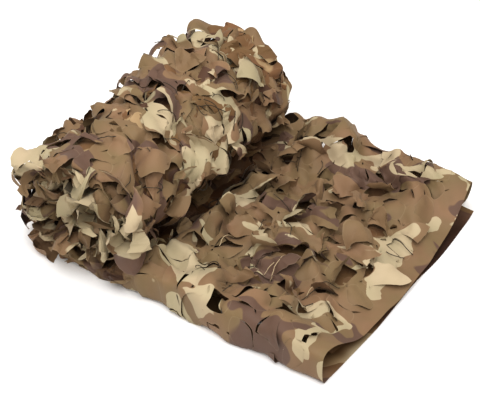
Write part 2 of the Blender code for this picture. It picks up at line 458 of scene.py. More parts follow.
# %% [markdown]
# ## How much room there is
#
# A tab on the outside can stand up freely, but one between two layers lies pressed. A collision test for
# every tab would be slow, so a function says how far the cloth may stand off its own surface at each
# place, outwards and inwards, and everything that stands up is kept under that.

# %% How much room there is
BETWEEN_LAYERS = 0.006
INWARDS_IN_ROLL = 0.007
INWARDS_ON_FLOOR = 0.008
MORE_INWARDS = 0.006
OPEN_ROOM = 0.024  # more than between layers, where nothing lies over the cloth
LESS_ON_TOP = 0.017
LESS_AT_NEAR_EDGE = 0.010
LESS_BY_FAR_FOLD = 0.018
ROUND_NEAR_FOLD = 0.009
ROUND_INNER_TURNS = 0.012
ROUND_FAR_FOLD = 0.004
MOST_AT_NEAR_END = 0.018
MORE_AT_THE_BACK = 0.012


def room(s, t):
    """The room outwards and inwards from the cloth, in metres: free outside the roll and over the flat
    part, and close between the layers and in the crease where the roll stands on the flat part."""
    _, near, top, far, middle, _ = FOLD_ENDS
    turn = wound_angle(s) / (2.0 * np.pi)
    in_roll = s > FLAT_LENGTH
    outer_layer = step(t, near + 0.02, near)
    near_fold = step(t, near - 0.02, near + 0.01) * step(t, top + 0.03, top)
    far_fold = step(t, far - 0.02, far + 0.01) * step(t, middle + 0.03, middle)
    top_layer = step(t, top, top + 0.05) * step(t, far + 0.01, far)
    near_edge = step(t, near - 0.10, near - 0.04)
    outer_turn = step(turn, 0.02, 0.12) * step(turn, 0.86, 0.78)
    inner_turns = step(turn, 0.8, 1.0)
    clear_of_roll = step(s, FLAT_LENGTH - 0.10, FLAT_LENGTH - 0.18)
    by_far_fold = bump(t, far, 0.05) * step(s, 0.235, 0.215)

    in_open = OPEN_ROOM - LESS_ON_TOP * bump(turn, 0.46, 0.14) - LESS_AT_NEAR_EDGE * near_edge
    round_roll = BETWEEN_LAYERS + in_open * outer_turn * outer_layer
    over_flat = BETWEEN_LAYERS + (OPEN_ROOM - LESS_BY_FAR_FOLD * by_far_fold) * clear_of_roll * top_layer
    outside = np.where(in_roll, round_roll, over_flat)
    round_fold = (ROUND_NEAR_FOLD + ROUND_INNER_TURNS * inner_turns) * np.where(in_roll, 1.0, 0.4)
    outside = outside + round_fold * near_fold + ROUND_FAR_FOLD * far_fold
    most = MOST_AT_NEAR_END + MORE_AT_THE_BACK * bump(s, 0.775, 0.05)
    outside = np.where(in_roll, outside - near_fold * np.maximum(outside - most, 0.0), outside)
    inside = np.where(in_roll, INWARDS_IN_ROLL, INWARDS_ON_FLOOR + MORE_INWARDS * clear_of_roll * top_layer)
    return outside, inside


print("room over the middle of the flat part:", room(np.array([0.2]), np.array([0.8]))[0].round(3))

# %% The uneven surface and its directions
NEARBY = 0.0015  # how far off the neighbours are that give a direction
SWAY = 0.007
RISE_SHARE = 0.80
CRUMPLE_SHARE = 0.35
MOST_WAVE = 0.012
TIGHT_AT_END = (0.20, 0.14)  # the share of the waves that the cloth keeps there, and over what length
TIGHT_AT_NEAR_FOLD = (0.35, 0.10)
TINY = 1e-12


def unit(vectors):
    """The vectors, each one metre long."""
    return vectors / (np.linalg.norm(vectors, axis=-1, keepdims=True) + TINY)


def rippled_surface(s, t):
    """The place of (s, t) with the long waves on it: the cloth is shifted in its own plane and raised off
    it."""
    outside, _ = room(s, t)
    end_share, end_length = TIGHT_AT_END
    fold_share, fold_reach = TIGHT_AT_NEAR_FOLD
    from_near_fold = step(np.abs(t - NEAR_FOLD_MIDDLE), 0.0, fold_reach)
    by_fold = np.where(s < FLAT_LENGTH, fold_share + (1.0 - fold_share) * from_near_fold, 1.0)
    loose = (end_share + (1.0 - end_share) * step(s, 0.0, end_length)) * by_fold
    moved_s = s + SWAY * loose * sway_s(s, t)
    moved_t = t + SWAY * sway_t(s, t)
    place = folded_surface(moved_s, moved_t)
    along_s = folded_surface(moved_s + NEARBY, moved_t) - place
    along_t = folded_surface(moved_s, moved_t + NEARBY) - place
    outward = unit(-np.cross(along_s, along_t))
    waves = (rise(s, t) * RISE_SHARE + crumple(s, t) * CRUMPLE_SHARE) * loose
    height = waves * np.minimum(outside, MOST_WAVE) + main_creases(s, t)
    return place + outward * height[..., None]


def surface_frame(s, t):
    """The place of (s, t), and the unit vectors along s, along t and outwards there."""
    place = rippled_surface(s, t)
    along_s = unit(rippled_surface(s + NEARBY, t) - place)
    along_t = rippled_surface(s, t + NEARBY) - place
    outward = unit(-np.cross(along_s, along_t))
    return place, along_s, np.cross(along_s, outward), outward


print("the peak of the roll:", rippled_surface(*np.array([[0.800], [0.062]])).round(3))

# %% [markdown]
# ## The rows of places
#
# The real cloth is cut in staggered rows, each cut in its own place. An Array modifier could repeat one
# place, but then all would be cut alike. Here the places are laid out as whole arrays, one number a
# place, so that every later step treats all of them at once and each can still differ.

# %% The rows of places
COLUMNS = 31
ROWS = 42
END_BORDER = 0.032
PITCH_T = CLOTH_WIDTH / (COLUMNS + 1)
PITCH_S = (CLOTH_LENGTH - END_BORDER) / (ROWS + 0.5)
HALF_PLACE = min(PITCH_S, PITCH_T) / 2.0
places = [(row, column) for row in range(ROWS) for column in range(COLUMNS - row % 2)]
count = len(places)
place_row = np.array([row for row, _ in places])
place_column = np.array([column for _, column in places])
centre_s = END_BORDER + (place_row + 0.5) * PITCH_S
centre_t = (place_column + 1.0 + 0.5 * (place_row % 2)) * PITCH_T
print(count, "places, pitch", round(PITCH_S, 4), round(PITCH_T, 4))

# %% [markdown]
# ## What each tab does
#
# A cut runs most of the way round each place, so the cloth inside it is a tab that hangs on by its neck.
# No two tabs lie alike, and the net looks right only if they differ in the way real ones do: some lie
# flat, some are bent down through the hole, most stand up, and many have a crease of their own. Each
# measure is one random number a tab.

# %% The shape of each tab
ANGLE_STEP = np.pi / 24.0
QUARTER = 12  # steps in a quarter of a turn
TURNED_HALFWAY = 0.2  # the share of the tabs that point between the net's own directions
tab_direction = random.integers(0, 4, count) * QUARTER + random.integers(-2, 3, count)  # where its end points
between = np.where(random.random(count) < TURNED_HALFWAY, QUARTER // 2, 0)
tab_direction = (tab_direction + between) * ANGLE_STEP
tab_neck = random.choice([3, 4, 5], count) * ANGLE_STEP  # half the neck's width, as an angle
tab_neck_reach = HALF_PLACE * random.uniform(0.80, 0.95, count)
tab_corner_angle = random.choice([4, 5, 5, 6], (2, count)) * ANGLE_STEP  # from its end to its two corners
tab_corner_reach = HALF_PLACE * random.uniform(0.95, 1.20, (2, count))
tab_bulge = random.choice([-0.25, -0.12, 0.0, 0.0, 0.12], count)  # how hollow or full its end is
tab_waist = HALF_PLACE * random.uniform(0.34, 0.52, (2, count))
corner_lip = random.normal(0.003, 0.007, (2, count))  # how far the cloth beside the neck stands up
tab_growth = random.uniform(0.20, 0.65, count)  # how much longer the tab is than its hole
print("tabs grow by", tab_growth.min().round(2), "to", tab_growth.max().round(2))

# %% How each tab is bent
BENT_DOWN = 0.26  # shares of the tabs
LYING_FLAT = 0.24
tab_pose = random.random(count)
down = random.normal(-30.0, 11.0, count)
flat = random.normal(7.0, 8.0, count)
up = random.normal(36.0, 15.0, count)
poses = [tab_pose < BENT_DOWN, tab_pose < BENT_DOWN + LYING_FLAT]
tab_lift = np.radians(np.select(poses, [down, flat], up))
tab_curl = np.radians(random.normal(0.0, 13.0, count))  # an even bend along it
tab_kink = random.choice([-55.0, -35.0, 0.0, 0.0, 30.0, 50.0], count)
tab_kink = np.radians(tab_kink + random.normal(0.0, 8.0, count))  # its one crease
tab_slant = random.normal(0.0, 0.55, count)  # how aslant the crease runs
tab_kink_at = random.uniform(0.010, 0.026, count)
tab_cross = random.normal(0.0, 5.0, count)  # a bend across it
tab_twist = random.normal(0.0, 6.0, count)
tab_ridge = random.normal(0.0, 0.30, count)  # a ridge down its middle
tab_lean = random.normal(0.0, 0.22, count)  # how far it turns aside as it grows
tab_flare = random.uniform(0.0, 0.5, count)  # how much wider it gets towards its end
edge_waves = random.normal(0.0, 0.0019, (3, 2, count))  # heights along its hole's edge
# each tab's tone: rosier or more olive, and with less or more painted shade
tab_tone = random.normal(0.0, 1.0, count)  # greyer or rosier
print("tabs bent down:", np.sum(tab_lift < 0.0), "and standing up:", np.sum(tab_lift > math.radians(20.0)))

# %% [markdown]
# ## Petals, and where the tabs are pressed flat
#
# At the roll's near end the tabs of the near fold point out of the end like petals. On the flat part they
# are pressed by their own weight, at the flat end and on the near fold most of all, and in the hidden
# layers they hardly move. So every measure of a tab is multiplied by how lively its place is.

# %% Petals at the roll's near end
PETAL_REACH = 0.040
ROUND_END = 0.22  # how full the end of a rounded tab is
in_roll = centre_s > FLAT_LENGTH
is_petal = in_roll & (np.abs(centre_t - NEAR_FOLD_MIDDLE) < PETAL_REACH)
sway = np.round(tab_direction / ANGLE_STEP + QUARTER / 2) % QUARTER - QUARTER / 2
petal_heading = np.where(centre_t < NEAR_FOLD_MIDDLE, QUARTER, 3 * QUARTER) + np.clip(sway, -3, 3)
tab_direction = np.where(is_petal, petal_heading * ANGLE_STEP, tab_direction)
tab_bulge = np.where(is_petal, ROUND_END, tab_bulge)
tab_twist = np.where(is_petal, 0.3, 1.0) * tab_twist
tab_slant = np.where(is_petal, 0.4, 1.0) * tab_slant
print(np.sum(is_petal), "petals")

# %% Where the tabs are pressed flat
PRESSED_ON_FOLD = 0.85
LIVELY_AT_END = 0.45
LIVELY_IF_HIDDEN = 0.12
STIFFNESS = 0.15  # ridges and crosswise bends never go quite flat
near_fold = bump(centre_t, NEAR_FOLD_MIDDLE, 0.050)
from_end = LIVELY_AT_END + (1.0 - LIVELY_AT_END) * step(centre_s, 0.06, 0.12)
on_flat = (1.0 - PRESSED_ON_FOLD * near_fold) * from_end
in_arch = (centre_s > 0.22) & (centre_s < 0.34)
hidden = (centre_t < FOLD_ENDS[1] - 0.01) | ((centre_t > FOLD_ENDS[3] + 0.005) & ~in_arch)
at_foot = bump(centre_t, FOLD_ENDS[1], 0.016) * (centre_s < 0.56)
on_flat = on_flat * np.where(hidden, LIVELY_IF_HIDDEN, 1.0)
liveliness = np.where(in_roll, 1.0, on_flat) * (1.0 - 0.95 * at_foot)
tongue = np.where(in_roll, near_fold, 0.0) * step(centre_s, 0.57, 0.67)
tab_lift = tab_lift * liveliness + tongue * math.radians(30.0)
tab_curl = tab_curl * liveliness
tab_kink = tab_kink * liveliness
tab_ridge = tab_ridge * (STIFFNESS + (1.0 - STIFFNESS) * liveliness)
tab_cross = tab_cross * (STIFFNESS + (1.0 - STIFFNESS) * liveliness)
tab_twist = tab_twist * liveliness
tab_lean = tab_lean * (0.3 + 0.7 * liveliness)
corner_lip = corner_lip * liveliness
edge_waves = edge_waves * liveliness
tab_growth = tab_growth * liveliness + 0.25 * tongue
tab_following = np.where(in_roll, 0.6 - 0.4 * tongue, 0.9)  # how far a tab goes along with the cloth below
print("the mean liveliness on the flat part:", liveliness[~in_roll].mean().round(2))

# %% [markdown]
# ## The tabs posed one by one
#
# The tabs that make the netting's outline, and those round the arch, each have a pose of their own in
# this net, which no random number would find. They are named by their row and column, counted from the
# flat end and from the bottom layer's free edge. One list could hold every tab, but only these few dozen
# are seen one by one.

# %% The tabs posed one by one
# (row, column): lift and kink in degrees, growth, and the heading in degrees of those with a rounded end
POSED_TABS = {
    (1, 20): (0, 0, 0.05),
    (3, 10): (-75, 0, 0.00),
    (3, 20): (-8, 0, 0.20),
    (4, 11): (7, 0, 0.30),
    (4, 20): (-65, 0, 0.10),
    (4, 21): (-10, 0, 0.20),
    (5, 11): (0, 0, 0.20),
    (5, 12): (5, 0, 0.20),
    (5, 20): (-60, 0, 0.10),
    (5, 21): (-80, 0, 0.10),
    (6, 12): (5, 0, 0.20),
    (10, 10): (16, 0, 0.45),
    (11, 9): (42, 10, 0.80),
    (11, 10): (48, 20, 0.70),
    (12, 9): (20, 0, 0.60, 172.5),
    (12, 10): (20, 0, 0.30),
    (13, 9): (-6, 0, 0.10, 187.5),
    (14, 4): (20, 0, 0.40),
    (14, 5): (14, 0, 0.30),
    (14, 7): (0, 0, 0.20),
    (14, 8): (18, 0, 0.30),
    (14, 10): (4, 0, 0.10),
    (15, 1): (30, 0, 0.25, 172.5),
    (15, 2): (46, 0, 0.30, 180.0),
    (15, 3): (46, 0, 0.30, 187.5),
    (15, 4): (50, 0, 0.35, 180.0),
    (15, 5): (8, 0, 0.25),
    (15, 6): (4, 0, 0.15),
    (15, 7): (26, 0, 0.30, 180.0),
    (15, 9): (14, 0, -0.12, 180.0),
    (15, 10): (22, 0, 0.30),
    (16, 0): (8, 0, 0.00, 172.5),
    (16, 3): (8, 0, 0.30),
    (16, 4): (8, 0, 0.25),
    (16, 7): (14, 0, 0.30),
    (17, 21): (6, 0, 0.10),
    (18, 0): (6, 0, 0.10),
    (20, 0): (20, 0, 0.20),
}
for place, (lift, kink, growth, *headings) in POSED_TABS.items():
    index = places.index(place)
    tab_lift[index] = math.radians(lift)
    tab_kink[index] = math.radians(kink)
    tab_growth[index] = growth
    for smoothed in (tab_curl, tab_cross, tab_twist, tab_slant):
        smoothed[index] = 0.0
    for heading in headings:
        tab_direction[index] = math.radians(heading)
        tab_bulge[index] = ROUND_END
print(len(POSED_TABS), "tabs posed by hand")

# %% [markdown]
# ## How a tab bends
#
# A tab bends at its neck, curls along its length and may have one sharp crease. An armature with a bone
# or two in each tab would do it, but not for over a thousand of them. A table of how far along and how
# high each tab has come after every little step from its neck does the same, and is then read for all
# points at once.

# %% Bent tabs
STEEPEST = math.radians(105.0)
BEND_SAMPLES = 64
BEND_REACH = 0.080
NECK_BEND = 0.005  # the length over which a tab comes up at its neck
CURL_LENGTH = 0.05  # the length over which it turns by its curl
KINK_LENGTH = 0.003


def bend_tables():
    """For each tab, how far along and how high it gets with the distance from its neck: the sum of small
    steps, each at the tab's slope there. The slope grows quickly at the neck, changes evenly with the
    tab's curl, and jumps at the tab's own crease."""
    distance = np.linspace(0.0, BEND_REACH, BEND_SAMPLES)
    lift, curl, kink, kink_at = (column[:, None] for column in (tab_lift, tab_curl, tab_kink, tab_kink_at))
    slope = lift * (1.0 - np.exp(-distance / NECK_BEND)) + curl * distance / CURL_LENGTH
    slope = slope + kink * step(distance, kink_at, kink_at + KINK_LENGTH)
    slope = np.clip(slope, -STEEPEST, STEEPEST)
    middle_slope = (slope[:, 1:] + slope[:, :-1]) / 2.0
    start = np.zeros((count, 1))
    forward = np.concatenate([start, np.cumsum(np.cos(middle_slope) * distance[1], axis=1)], axis=1)
    upward = np.concatenate([start, np.cumsum(np.sin(middle_slope) * distance[1], axis=1)], axis=1)
    return forward, upward


def read_table(table, index, distance):
    """A table's values for each place in index, between its samples."""
    where = np.clip(distance / BEND_REACH, 0.0, 0.999) * (BEND_SAMPLES - 1)
    low = where.astype(int)
    part = where - low
    return table[index, low] * (1.0 - part) + table[index, low + 1] * part


bend_forward, bend_upward = bend_tables()
print("the highest tab comes up by", bend_upward.max().round(3), "m at the table's end")

# %% [markdown]
# ## One place of the net
#
# Inside the cut, a place is a disc of four-sided faces. Outside it, rings of them fill the square up to
# the next place. A Boolean cut through a plain grid would leave ragged faces, but this way they always
# follow the cut.


# %% Squares, discs and grids
def square_round(segments):
    """The points round a square from -1 to 1, and the angles that share them out evenly round a
    circle."""
    side = np.linspace(-1.0, 1.0, segments, endpoint=False)
    one = np.ones(segments)
    x = np.concatenate([one, -side, -one, side])
    y = np.concatenate([side, one, -side, -one])
    angle = -np.pi / 4.0 + 2.0 * np.pi * np.arange(4 * segments) / (4 * segments)
    return x, y, angle


def disc_grid(segments):
    """A square grid bent into a disc: each point's share of the radius and its angle."""
    line = np.linspace(-1.0, 1.0, segments + 1)
    a, b = np.meshgrid(line, line, indexing="ij")
    radius = np.maximum(np.abs(a), np.abs(b))
    wide = np.abs(a) >= np.abs(b)
    safe_a = np.where(np.abs(a) < 1e-9, 1.0, a)
    safe_b = np.where(np.abs(b) < 1e-9, 1.0, b)
    across = np.pi / 4.0 * b / safe_a + np.where(a < 0.0, np.pi, 0.0)
    tall = np.pi / 2.0 - np.pi / 4.0 * a / safe_b + np.where(b < 0.0, np.pi, 0.0)
    return radius, np.where(wide, across, tall)


def grid_quads(rows, columns):
    """The four corners of each face of a grid, wound so that the outer side of the cloth is the front."""
    index = np.arange(rows * columns).reshape(rows, columns)
    corners = [index[:-1, :-1], index[:-1, 1:], index[1:, 1:], index[1:, :-1]]
    return np.stack(corners, axis=-1).reshape(-1, 4)


print("a disc of 4 by 4 faces has", len(disc_grid(4)[0].ravel()), "points")

# %% The cut's outline
WAIST_POWER = 2.6
MOST_REACH = 0.91  # of the way to the next place


def signed_angle(angle):
    """The same angle, from minus half a turn to plus half a turn."""
    return np.angle(np.exp(1j * angle))


def round_from_neck(index, angle):
    """The angle from the middle of the neck."""
    return signed_angle(angle - tab_direction[index] - np.pi)


def is_in_neck(index, angle):
    """Whether the cloth hangs together at this angle."""
    return np.abs(round_from_neck(index, angle)) <= tab_neck[index] + 0.02


def outline(index, angle):
    """The cut's distance from the middle of its place. The tab's end is a straight line between two sharp
    corners, a little hollow or full. Each side draws in to a waist and comes back out to the neck, as the
    power WAIST_POWER of the share of the way. It all keeps clear of the next places' cuts."""
    from_end = signed_angle(angle - tab_direction[index])
    side = np.where(from_end > 0.0, 0, 1)
    corner_angle = tab_corner_angle[side, index]
    corner = tab_corner_reach[side, index]
    waist = tab_waist[side, index]
    away = np.abs(from_end)
    along_end = np.clip(away / corner_angle, 0.0, 1.0)
    along_side = np.clip((away - corner_angle) / (np.pi - tab_neck[index] - corner_angle), 0.0, 1.0)
    end = corner * np.cos(corner_angle) / np.maximum(np.cos(away), 0.3)
    end = end * (1.0 + tab_bulge[index] * (1.0 - along_end**2))
    to_waist = (corner - waist) * (1.0 - along_side) ** WAIST_POWER
    to_neck = (tab_neck_reach[index] - waist) * along_side**WAIST_POWER
    reach = np.where(away <= corner_angle, end, waist + to_waist + to_neck)
    room_left = MOST_REACH * HALF_PLACE / np.maximum(np.abs(np.cos(angle)), np.abs(np.sin(angle)))
    return np.minimum(reach, room_left)


first_outline = outline(np.zeros(8, dtype=int), np.arange(8) * np.pi / 4.0)
print("the first cut's outline:", first_outline.round(4))

# %% [markdown]
# ## Where the print is light
#
# The print has three colours in blots with sharp edges. Their shapes come from noise in the finish. The
# big light and dark areas are placed on the flat cloth, each as a soft oval that makes its colour
# win there. They could be painted as vertex colours, but ovals can be moved by changing two numbers. The
# same ovals mark the hollows, where hardly any light gets in, and there shade is painted into the colour.

# %% Where the print is light or dark, and where shade is painted
# s and t of the middle, heading in degrees, half length, half width
SOFT_OVALS = {
    "tan_lean": (
        (0.318, 0.612, 34, 0.088, 0.040),
        (0.258, 0.547, 0, 0.064, 0.024),
        (0.064, 0.844, 80, 0.032, 0.024),
        (0.100, 0.826, 150, 0.030, 0.014),
        (0.079, 0.884, 120, 0.056, 0.012),
        (0.044, 0.775, 60, 0.032, 0.013),
        (0.088, 0.795, 120, 0.028, 0.012),
        (0.088, 0.652, 126, 0.050, 0.014),
        (0.043, 0.636, 107, 0.044, 0.014),
        (0.042, 0.575, 90, 0.054, 0.014),
        (0.250, 1.022, 16, 0.045, 0.022),
        (0.172, 1.050, 110, 0.032, 0.018),
        (0.130, 1.035, 10, 0.040, 0.014),
        (0.085, 1.052, 160, 0.035, 0.014),
        (0.050, 1.078, 170, 0.028, 0.011),
        (0.352, 0.835, 112, 0.055, 0.018),
        (0.293, 0.778, 70, 0.030, 0.014),
        (0.245, 0.766, 170, 0.045, 0.015),
        (0.030, 0.962, 90, 0.024, 0.012),
        (0.003, 0.430, 90, 0.042, 0.010),
        (0.925, 0.335, 149, 0.075, 0.024),
        (0.885, 0.055, 70, 0.042, 0.020),
        (0.940, 0.085, 40, 0.042, 0.026),
        (0.925, 0.140, 60, 0.045, 0.018),
        (0.968, 0.040, 80, 0.025, 0.012),
        (1.008, 0.215, 100, 0.036, 0.018),
        (1.062, 0.200, 90, 0.026, 0.014),
        (1.045, 0.262, 10, 0.048, 0.020),
        (1.025, 0.340, 80, 0.042, 0.024),
        (1.560, 0.556, 0, 0.080, 0.036),
        (1.960, 0.545, 0, 0.090, 0.050),
        (1.830, 0.560, 0, 0.060, 0.036),
        (0.935, 0.552, 10, 0.036, 0.024),
        (1.680, 0.540, 0, 0.080, 0.040),
        (1.052, 0.538, 90, 0.062, 0.036),
        (1.150, 0.545, 0, 0.040, 0.026),
        (1.230, 0.545, 0, 0.040, 0.026),
        (0.780, 0.515, 15, 0.065, 0.035),
        (0.700, 0.250, 30, 0.070, 0.035),
        (0.720, 0.050, 70, 0.060, 0.035),
    ),
    "brown_lean": (
        (0.305, 0.710, 110, 0.045, 0.030),
        (0.270, 0.680, 100, 0.030, 0.024),
        (0.030, 0.725, 90, 0.026, 0.022),
        (0.015, 0.600, 90, 0.060, 0.012),
        (0.070, 0.590, 90, 0.040, 0.012),
        (0.010, 0.705, 90, 0.040, 0.020),
        (0.018, 0.890, 90, 0.045, 0.024),
        (0.160, 0.900, 100, 0.120, 0.060),
        (0.990, 0.440, 90, 0.060, 0.060),
        (0.870, 0.440, 90, 0.060, 0.040),
        (0.840, 0.270, 90, 0.060, 0.040),
    ),
    "plum_lean": (
        (0.145, 0.575, 20, 0.056, 0.026),
        (0.170, 0.710, 45, 0.034, 0.020),
        (0.075, 0.957, 150, 0.052, 0.018),
        # partly print and partly painted shade: this purple-brown blot also darkens the bottom layer where it
        # looks out under the top layer's end
        (0.010, 0.140, 90, 0.200, 0.060),
        (0.900, 0.495, 10, 0.036, 0.018),
        (0.880, 0.190, 40, 0.030, 0.016),
        (1.090, 0.430, 70, 0.080, 0.040),
        (0.640, 0.480, 50, 0.080, 0.040),
    ),
    # painted shade: in these ovals the colour is darkened, in the crevices by the roll and at the flat end
    "hollow": (
        (0.432, 0.780, 91, 0.300, 0.040),
        (1.165, 0.300, 90, 0.280, 0.060),
        (0.432, 1.400, 90, 0.300, 0.060),
        (0.030, 0.340, 90, 0.160, 0.026),
        (0.000, 0.150, 90, 0.090, 0.030),
    ),
}
OVAL_SWAY = 0.006
oval_sway_s = wave_field(8, 0.030, 0.070)
oval_sway_t = wave_field(8, 0.030, 0.070)


def soft_ovals(ovals, s, t):
    """The highest of some soft ovals at each point, from 0 to 1, with slightly uneven edges."""
    highest = np.zeros(np.shape(s))
    s, t = s + OVAL_SWAY * oval_sway_s(s, t), t + OVAL_SWAY * oval_sway_t(s, t)
    for middle_s, middle_t, heading, half_length, half_width in ovals:
        along, across = along_and_across(s, t, middle_s, middle_t, heading)
        inside = (along / half_length) ** 2 + (across / half_width) ** 2
        highest = np.maximum(highest, np.exp(-(inside**2)))
    return highest


print({name: len(ovals) for name, ovals in SOFT_OVALS.items()})


# %% Where layers lie over the cloth, for painted shade
def painted_shade_under_layers(s, t):
    """1 where other layers lie over the cloth and hardly any light gets to it, so that shade is painted into
    its colour, and 0 where it lies open: the top layer on the flat part, the outer layer of the roll with
    its near fold, and the hem where the flat end gapes."""
    _, near, top, far, _, _ = FOLD_ENDS
    in_open = step(t, near - 0.02, near) * step(t, far + 0.06, far + 0.04)
    at_gape = bump(s, 0.0, 0.010) * bump(t, 0.430, 0.050)
    on_floor = (1.0 - in_open) * (1.0 - at_gape)
    return np.where(s < FLAT_LENGTH + 0.03, on_floor, step(t, top + 0.07, top + 0.10))


print("under other layers, from fold to fold:", painted_shade_under_layers(np.full(6, 0.3), FOLD_ENDS).round(1))

# %% [markdown]
# ## Standing off the cloth
#
# Tabs and cut edges stand off the folded cloth. Each of their points has a foot on it, and three
# distances from there, in the tab's own directions. Bending the finished mesh with modifiers would need
# one for each tab, but this one function serves them all.


# %% Standing off the cloth
def turned(along, across, direction):
    """The same way given in the cloth's s and t, for a way along a direction and across it."""
    cos_d, sin_d = np.cos(direction), np.sin(direction)
    return along * cos_d - across * sin_d, along * sin_d + across * cos_d


def carry(foot_s, foot_t, forward, sideward, upward, direction):
    """Takes points to the folded cloth: the foot's place, plus the three distances along the directions
    there. The room there times the hyperbolic tangent of the height over the room keeps the height under
    the room."""
    place, along_s, along_t, outward = surface_frame(foot_s, foot_t)
    outside, inside = room(foot_s, foot_t)
    most = np.where(upward > 0.0, outside, inside)
    up = most * np.tanh(upward / most)
    cos_d, sin_d = np.cos(direction)[:, None], np.sin(direction)[:, None]
    ahead = along_s * cos_d + along_t * sin_d
    beside = along_t * cos_d - along_s * sin_d
    return place + ahead * forward[:, None] + beside * sideward[:, None] + outward * up[:, None]


print("a way of 1 along a quarter turn, in s and t:", np.round(turned(1.0, 0.0, math.pi / 2.0), 3))

# %% [markdown]
# ## The tabs and the cloth round them
#
# The tabs of such a net look a little larger than their holes, and so these grow as they leave the cut.
# The cloth round a hole is not quite flat either: its edge waves, and its two corners beside the neck
# curl up. A Boolean cut and a cloth brush could shape one of them. Here the points along a cut come
# twice, once for the tab and once for the hole, and so all cuts can open by formula.

# %% The tabs
Part = namedtuple("Part", "flat points tag to_cut tone quads")
ON_NEITHER, ON_TAB, ON_HOLE = 0, 1, 2  # the tags: which side of the cut a point belongs to
SIDE_GROWTH = 0.45  # a tab grows less in width than in length
SPREAD_LENGTH = 0.012  # how far from the neck a tab's growth, slant and crosswise bend set in
FLARE_LENGTH = 1.6 * HALF_PLACE
MOST_SLANT = 0.008
RIDGE_ROUND = 0.003


def tab_part(chosen, segments):
    """The discs of the chosen places. What lies past a tab's neck grows, and then follows the tab's bend.
    On top come a bend across, a twist and a ridge, as sums of products of the width and the length."""
    share, angle = (values.ravel() for values in disc_grid(segments))
    starts = share.size * np.arange(len(chosen))[:, None, None]
    quads = (grid_quads(segments + 1, segments + 1) + starts).reshape(-1, 4)
    index = np.repeat(chosen, share.size)
    share, angle = np.tile(share, len(chosen)), np.tile(angle, len(chosen))
    direction = tab_direction[index]
    whole_reach = outline(index, angle)
    s_off, t_off = whole_reach * share * np.cos(angle), whole_reach * share * np.sin(angle)
    ahead, beside = turned(s_off, t_off, -direction)
    on_cut = share > 0.999
    held = on_cut & is_in_neck(index, angle)
    neck_line = np.full(count, -1.0)
    np.maximum.at(neck_line, index[held], ahead[held])
    past = np.maximum(ahead - neck_line[index], 0.0)
    spread = 1.0 - bump(past, 0.0, SPREAD_LENGTH)

    growth = 1.0 + tab_growth[index] * spread
    flare = 1.0 + tab_flare[index] * np.minimum(past / FLARE_LENGTH, 1.0) ** 2
    length = past * growth
    width = beside * (1.0 + SIDE_GROWTH * (growth - 1.0)) * flare
    slanted = np.clip(tab_slant[index] * width * spread, -MOST_SLANT, MOST_SLANT)
    forward, upward = (
        read_table(table, index, length + slanted) - read_table(table, index, slanted)
        for table in (bend_forward, bend_upward)
    )
    ridge = np.sqrt(width * width + RIDGE_ROUND**2) - RIDGE_ROUND
    off_plane = (tab_cross[index] * width + tab_twist[index] * length) * width + tab_ridge[index] * ridge
    sideward = width - beside + spread * tab_lean[index] * length

    followed = forward * tab_following[index]
    foot_s, foot_t = turned(ahead - past + followed, beside, direction)
    foot_s, foot_t = centre_s[index] + foot_s, centre_t[index] + foot_t
    points = carry(foot_s, foot_t, forward - followed, sideward, upward + spread * off_plane, direction)
    flat = np.stack([centre_s[index] + s_off, centre_t[index] + t_off], axis=-1)
    tag = np.where(on_cut & ~held, ON_TAB, ON_NEITHER)
    return Part(flat, points, tag, (1.0 - share) * whole_reach, tab_tone[index] * spread, quads)


print("a tab of 4 by 4 faces has", len(tab_part(np.array([0]), 4).points), "points")

# %% The cloth round the tabs
LIP_ANGLE = 0.55  # how far round from the neck a corner's lip goes
WAVES_FROM = 0.7  # and where the edge's waves are in full
NEAR_NECK = 0.03
LEAST_STANDING = 0.004
MOST_DRAWN_BACK = 0.35


def ring_quads(chosen, segments, rings):
    """The faces of all rings. Those at the neck use each ring's first set of points, and the others its
    second."""
    _, _, angle = square_round(segments)
    one_set = (rings + 1) * angle.size
    index = np.arange(one_set).reshape(rings + 1, angle.size)
    onward = np.roll(index, -1, axis=1)
    quads = np.stack([index[:-1], onward[:-1], onward[1:], index[1:]], axis=-1)
    held = is_in_neck(chosen[:, None], angle)
    at_neck = held & np.roll(held, -1, axis=1)
    offset = 2 * one_set * np.arange(len(chosen))[:, None] + np.where(at_neck, 0, one_set)
    return (quads[None] + offset[:, None, :, None]).reshape(-1, 4)


